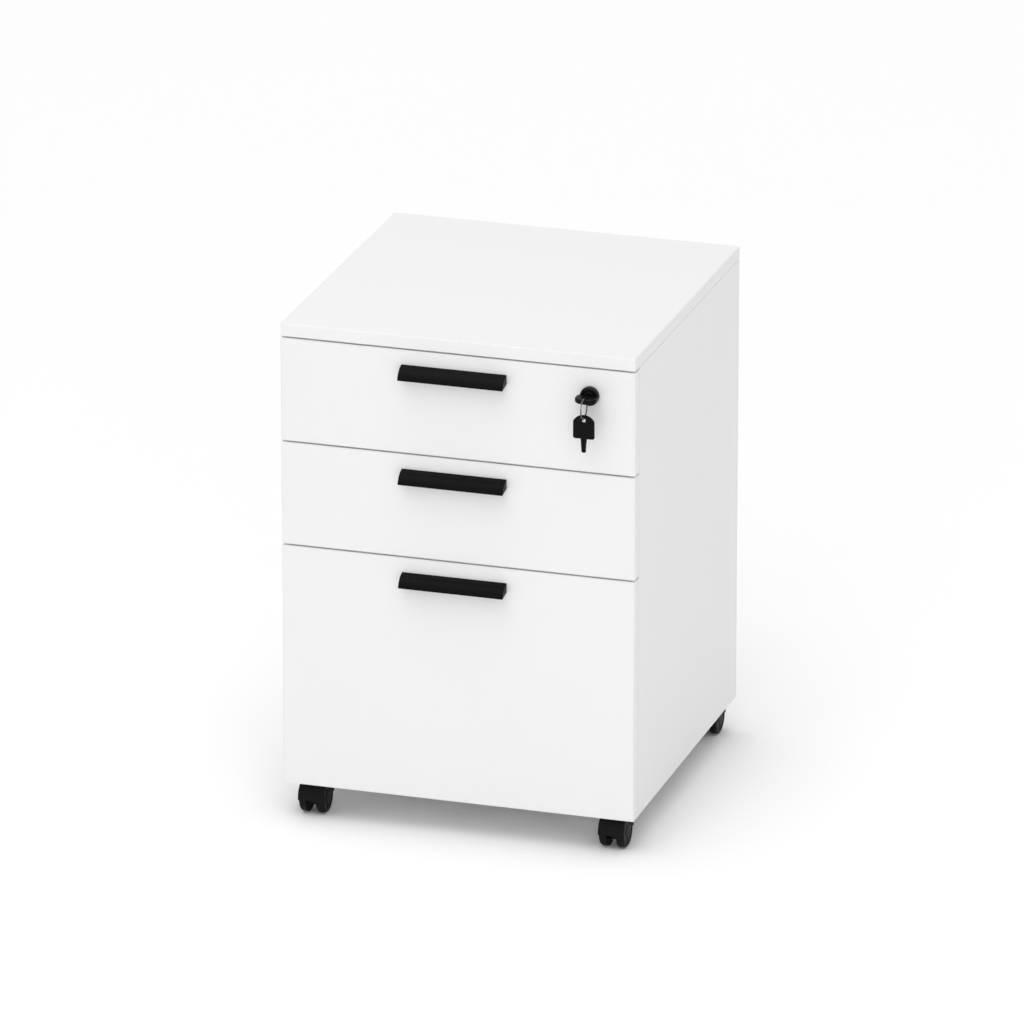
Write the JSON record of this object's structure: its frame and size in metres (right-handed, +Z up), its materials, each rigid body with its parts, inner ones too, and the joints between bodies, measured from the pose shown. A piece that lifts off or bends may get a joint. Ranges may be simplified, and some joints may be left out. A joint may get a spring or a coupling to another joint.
{
  "type": "rolling pedestal cabinet",
  "caption": "Low rolling office pedestal with flat drawer fronts under hooded pulls, a front lock with keys on a ring, and twin-wheel swivel casters.",
  "frame": {"origin": "on the floor under the middle of the carcass", "axes": "+Z up, the drawer fronts face -Y, +X is the side that carries the lock"},
  "size_m": [0.42, 0.4629, 0.6],
  "materials": {
    "white_melamine": "white melamine-faced board with matching edge banding, satin",
    "drawer_board": "light grey melamine-faced board, satin",
    "black_handle": "black moulded plastic, satin",
    "runner_steel": "zinc-plated cold-rolled steel",
    "zinc_steel": "bright zinc-plated steel",
    "caster_nylon": "black moulded nylon",
    "lock_black": "black coated zinc die-casting",
    "key_plastic": "black moulded plastic",
    "ring_steel": "nickel-plated spring-steel wire"
  },
  "bodies": {
    "root": {"top_panel": "white_melamine", "left_side_panel": "white_melamine", "right_side_panel": "white_melamine", "back_panel": "white_melamine", "bottom_panel": "white_melamine", "cabinet_runner_members": "runner_steel", "caster_stems": "zinc_steel", "lock_bar_guides": "zinc_steel"},
    "upper_drawer": {"upper_front": "white_melamine", "upper_handle": "black_handle", "upper_handle_screws": "zinc_steel", "upper_box_sides": "drawer_board", "upper_box_back": "drawer_board", "upper_box_bottom": "drawer_board", "upper_lock_catch": "zinc_steel", "upper_drawer_runners": "runner_steel", "lock_housing": "lock_black"},
    "upper_runner_middles": {"upper_middle_runners": "runner_steel"},
    "middle_drawer": {"middle_front": "white_melamine", "middle_handle": "black_handle", "middle_handle_screws": "zinc_steel", "middle_box_sides": "drawer_board", "middle_box_back": "drawer_board", "middle_box_bottom": "drawer_board", "middle_lock_catch": "zinc_steel", "middle_drawer_runners": "runner_steel"},
    "middle_runner_middles": {"middle_middle_runners": "runner_steel"},
    "file_drawer": {"file_front": "white_melamine", "file_handle": "black_handle", "file_handle_screws": "zinc_steel", "file_box_sides": "drawer_board", "file_box_back": "drawer_board", "file_box_bottom": "drawer_board", "file_lock_catch": "zinc_steel", "file_drawer_runners": "runner_steel"},
    "file_runner_middles": {"file_middle_runners": "runner_steel"},
    "caster_front_left": {"caster_hood_front_left": "caster_nylon", "caster_axle_front_left": "zinc_steel"},
    "wheel_front_left_a": {"wheel_front_left_a": "caster_nylon"},
    "wheel_front_left_b": {"wheel_front_left_b": "caster_nylon"},
    "caster_front_right": {"caster_hood_front_right": "caster_nylon", "caster_axle_front_right": "zinc_steel"},
    "wheel_front_right_a": {"wheel_front_right_a": "caster_nylon"},
    "wheel_front_right_b": {"wheel_front_right_b": "caster_nylon"},
    "caster_rear_left": {"caster_hood_rear_left": "caster_nylon", "caster_axle_rear_left": "zinc_steel"},
    "wheel_rear_left_a": {"wheel_rear_left_a": "caster_nylon"},
    "wheel_rear_left_b": {"wheel_rear_left_b": "caster_nylon"},
    "caster_rear_right": {"caster_hood_rear_right": "caster_nylon", "caster_axle_rear_right": "zinc_steel"},
    "wheel_rear_right_a": {"wheel_rear_right_a": "caster_nylon"},
    "wheel_rear_right_b": {"wheel_rear_right_b": "caster_nylon"},
    "lock_plug": {"lock_plug": "lock_black"},
    "key": {"key": "key_plastic"},
    "key_ring": {"key_ring": "ring_steel"},
    "spare_key": {"spare_key": "key_plastic"},
    "lock_bar": {"lock_bar": "zinc_steel", "lock_bar_arm": "zinc_steel", "lock_bar_pins": "zinc_steel"}
  },
  "joints": [
    {"name": "upper_drawer_slide", "type": "slide", "parent": "root", "child": "upper_drawer", "axis": [0, -1, 0], "range_m": [0, 0.34]},
    {"name": "upper_runner_slide", "type": "slide", "parent": "root", "child": "upper_runner_middles", "axis": [0, -1, 0], "range_m": [0, 0.17]},
    {"name": "middle_drawer_slide", "type": "slide", "parent": "root", "child": "middle_drawer", "axis": [0, -1, 0], "range_m": [0, 0.34]},
    {"name": "middle_runner_slide", "type": "slide", "parent": "root", "child": "middle_runner_middles", "axis": [0, -1, 0], "range_m": [0, 0.17]},
    {"name": "file_drawer_slide", "type": "slide", "parent": "root", "child": "file_drawer", "axis": [0, -1, 0], "range_m": [0, 0.34]},
    {"name": "file_runner_slide", "type": "slide", "parent": "root", "child": "file_runner_middles", "axis": [0, -1, 0], "range_m": [0, 0.17]},
    {"name": "caster_front_left_swivel", "type": "hinge", "parent": "root", "child": "caster_front_left", "pos_m": [-0.1805, -0.168, 0.05], "axis": [0, 0, 1], "continuous": true},
    {"name": "wheel_front_left_a_spin", "type": "hinge", "parent": "caster_front_left", "child": "wheel_front_left_a", "pos_m": [-0.1805, -0.182, 0.0195], "axis": [1, 0, 0], "continuous": true},
    {"name": "wheel_front_left_b_spin", "type": "hinge", "parent": "caster_front_left", "child": "wheel_front_left_b", "pos_m": [-0.1805, -0.182, 0.0195], "axis": [1, 0, 0], "continuous": true},
    {"name": "caster_front_right_swivel", "type": "hinge", "parent": "root", "child": "caster_front_right", "pos_m": [0.1805, -0.168, 0.05], "axis": [0, 0, 1], "continuous": true},
    {"name": "wheel_front_right_a_spin", "type": "hinge", "parent": "caster_front_right", "child": "wheel_front_right_a", "pos_m": [0.1805, -0.182, 0.0195], "axis": [1, 0, 0], "continuous": true},
    {"name": "wheel_front_right_b_spin", "type": "hinge", "parent": "caster_front_right", "child": "wheel_front_right_b", "pos_m": [0.1805, -0.182, 0.0195], "axis": [1, 0, 0], "continuous": true},
    {"name": "caster_rear_left_swivel", "type": "hinge", "parent": "root", "child": "caster_rear_left", "pos_m": [-0.1805, 0.181, 0.05], "axis": [0, 0, 1], "continuous": true},
    {"name": "wheel_rear_left_a_spin", "type": "hinge", "parent": "caster_rear_left", "child": "wheel_rear_left_a", "pos_m": [-0.1805, 0.195, 0.0195], "axis": [1, 0, 0], "continuous": true},
    {"name": "wheel_rear_left_b_spin", "type": "hinge", "parent": "caster_rear_left", "child": "wheel_rear_left_b", "pos_m": [-0.1805, 0.195, 0.0195], "axis": [1, 0, 0], "continuous": true},
    {"name": "caster_rear_right_swivel", "type": "hinge", "parent": "root", "child": "caster_rear_right", "pos_m": [0.1805, 0.181, 0.05], "axis": [0, 0, 1], "continuous": true},
    {"name": "wheel_rear_right_a_spin", "type": "hinge", "parent": "caster_rear_right", "child": "wheel_rear_right_a", "pos_m": [0.1805, 0.195, 0.0195], "axis": [1, 0, 0], "continuous": true},
    {"name": "wheel_rear_right_b_spin", "type": "hinge", "parent": "caster_rear_right", "child": "wheel_rear_right_b", "pos_m": [0.1805, 0.195, 0.0195], "axis": [1, 0, 0], "continuous": true},
    {"name": "lock_turn", "type": "hinge", "parent": "upper_drawer", "child": "lock_plug", "pos_m": [0.1572, -0.21, 0.552], "axis": [0, 1, 0], "range_deg": [0, 90]},
    {"name": "lock_bar_drop", "type": "slide", "parent": "root", "child": "lock_bar", "axis": [0, 0, -1], "range_m": [0, 0.00848]},
    {"name": "key_pull", "type": "slide", "parent": "lock_plug", "child": "key", "axis": [0, -1, 0], "range_m": [0, 0.02]},
    {"name": "key_ring_swing", "type": "hinge", "parent": "key", "child": "key_ring", "pos_m": [0.1572, -0.2348, 0.552], "axis": [0, 1, 0], "range_deg": [-15, 15]},
    {"name": "spare_key_swing", "type": "hinge", "parent": "key_ring", "child": "spare_key", "pos_m": [0.1572, -0.2348, 0.53219], "axis": [0, 1, 0], "range_deg": [-80, 80]}
  ],
  "couplings": [
    {"joint": "upper_runner_slide", "follows": "upper_drawer_slide", "ratio": 0.5},
    {"joint": "middle_runner_slide", "follows": "middle_drawer_slide", "ratio": 0.5},
    {"joint": "file_runner_slide", "follows": "file_drawer_slide", "ratio": 0.5},
    {"joint": "lock_turn", "follows": "lock_bar_drop", "rad_per_m": 185.12}
  ]
}
